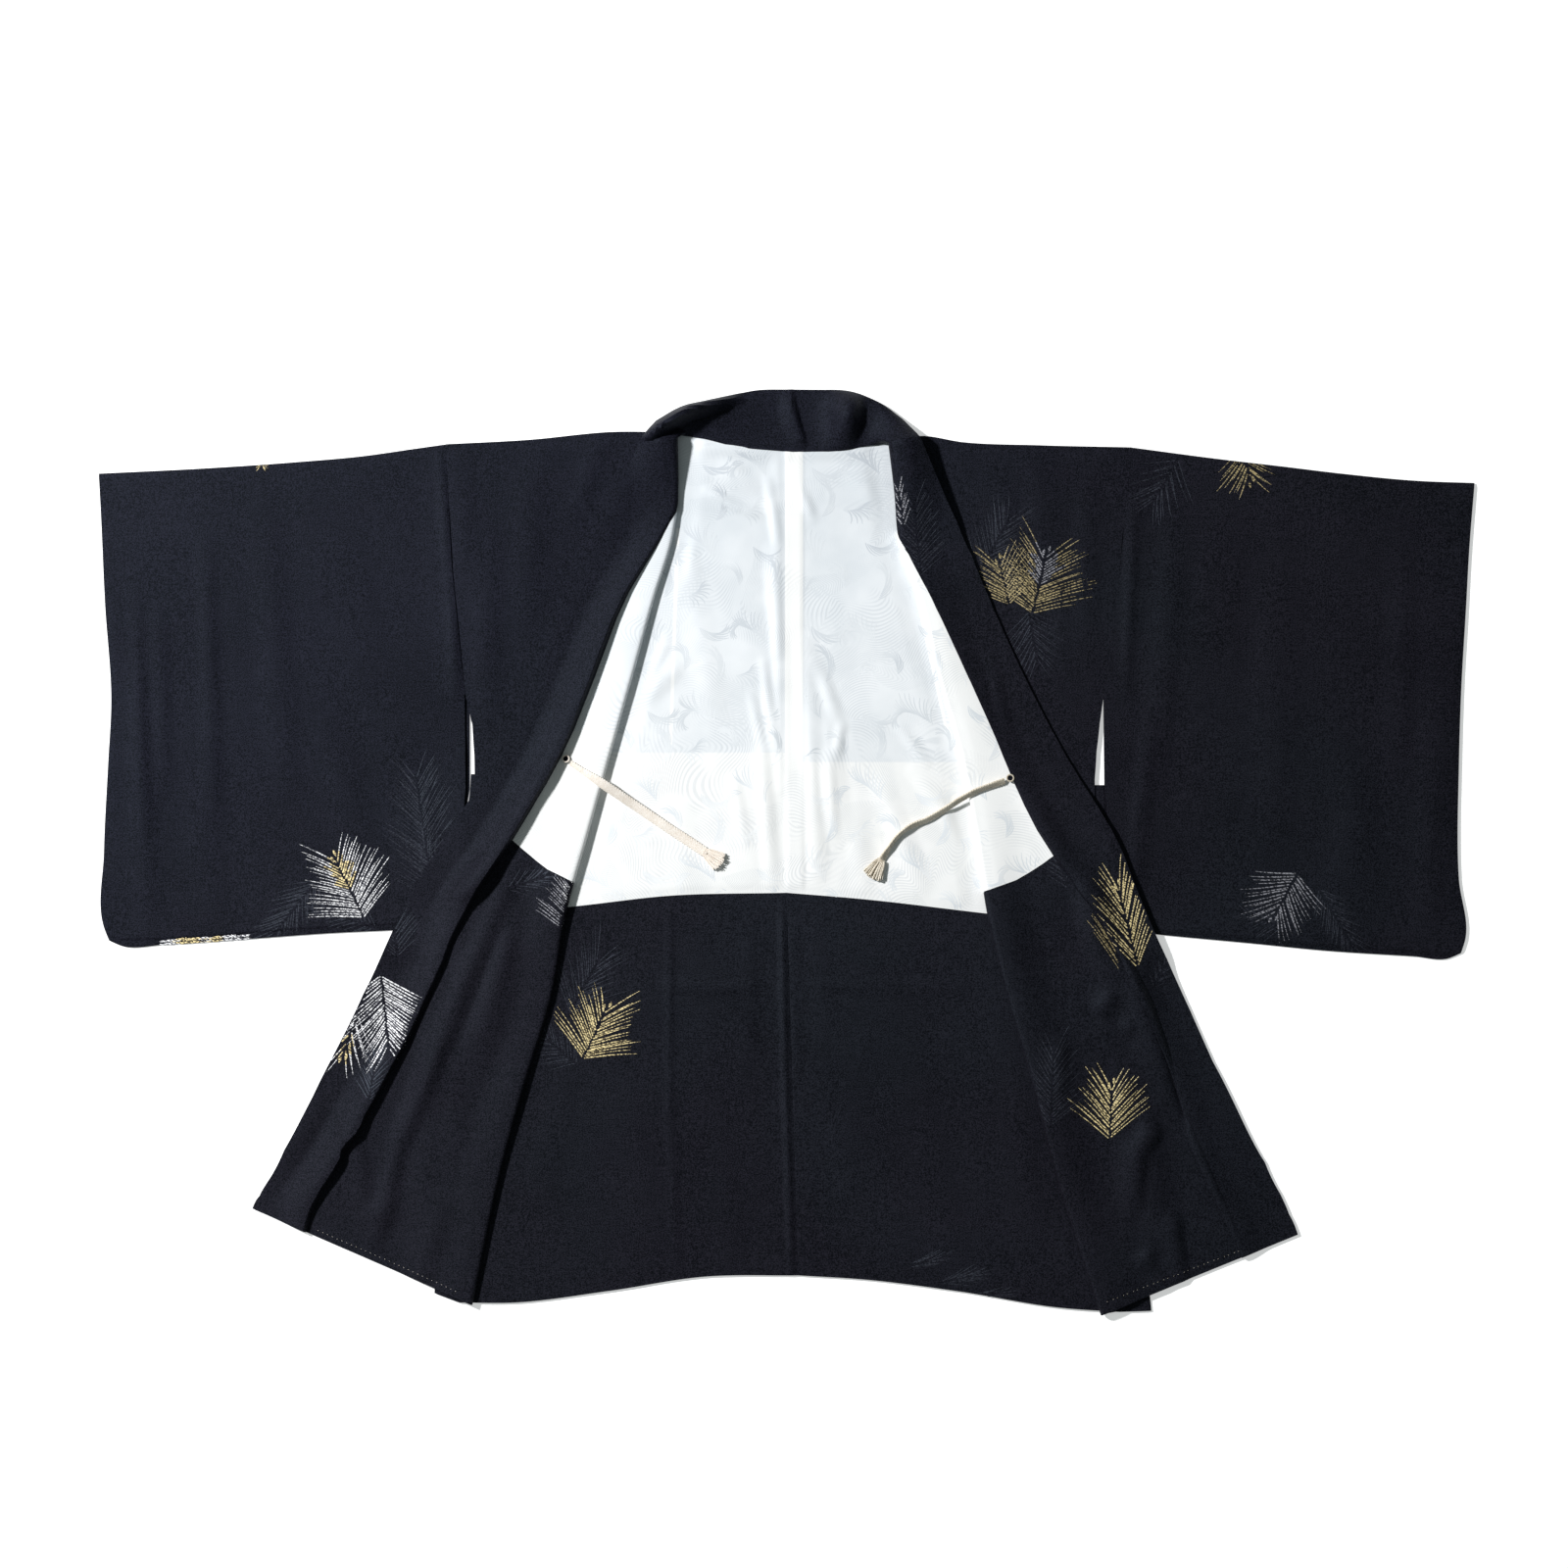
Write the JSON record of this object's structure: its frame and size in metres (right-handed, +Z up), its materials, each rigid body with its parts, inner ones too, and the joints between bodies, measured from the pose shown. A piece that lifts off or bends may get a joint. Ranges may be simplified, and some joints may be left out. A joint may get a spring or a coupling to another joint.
{
  "type": "haori jacket",
  "caption": "Thigh-length open-front silk jacket with wide square sleeves, folded collar band and tie cords, laid flat on its back with both fronts turned back.",
  "frame": {"origin": "on the surface that the jacket lies on, under the middle of its laid-out width and length", "axes": "+X from the middle toward the wearer's left sleeve, along the sleeves; +Y from the hem toward the neck; +Z up from the surface"},
  "size_m": [1.316, 0.8844, 0.0279],
  "materials": {
    "back_left": "black silk crepe, matt",
    "back_right": "black silk crepe, matt",
    "lining_back_left": "pale damask silk, satin sheen",
    "lining_back_right": "pale damask silk, satin sheen",
    "front_left": "black silk crepe, matt",
    "front_right": "black silk crepe, matt",
    "lining_front_left": "pale damask silk, satin sheen",
    "lining_front_right": "pale damask silk, satin sheen",
    "gusset_left": "black silk crepe, matt",
    "gusset_right": "black silk crepe, matt",
    "sleeve_left": "black silk crepe, matt",
    "sleeve_right": "black silk crepe, matt",
    "collar_left": "black silk crepe, matt",
    "collar_right": "black silk crepe, matt",
    "chi_left": "black and cream sewing thread",
    "chi_right": "black and cream sewing thread",
    "cord_left": "flat-braided cream silk",
    "cord_right": "flat-braided cream silk",
    "tassel_left": "cream silk threads",
    "tassel_right": "cream silk threads"
  },
  "bodies": {
    "root": {"back_left": "back_left", "back_right": "back_right", "lining_back_left": "lining_back_left", "lining_back_right": "lining_back_right", "front_left": "front_left", "front_right": "front_right", "lining_front_left": "lining_front_left", "lining_front_right": "lining_front_right", "gusset_left": "gusset_left", "gusset_right": "gusset_right", "sleeve_left": "sleeve_left", "sleeve_right": "sleeve_right", "collar_left": "collar_left", "collar_right": "collar_right", "chi_left": "chi_left", "chi_right": "chi_right", "cord_left": "cord_left", "cord_right": "cord_right", "tassel_left": "tassel_left", "tassel_right": "tassel_right"}
  },
  "joints": []
}
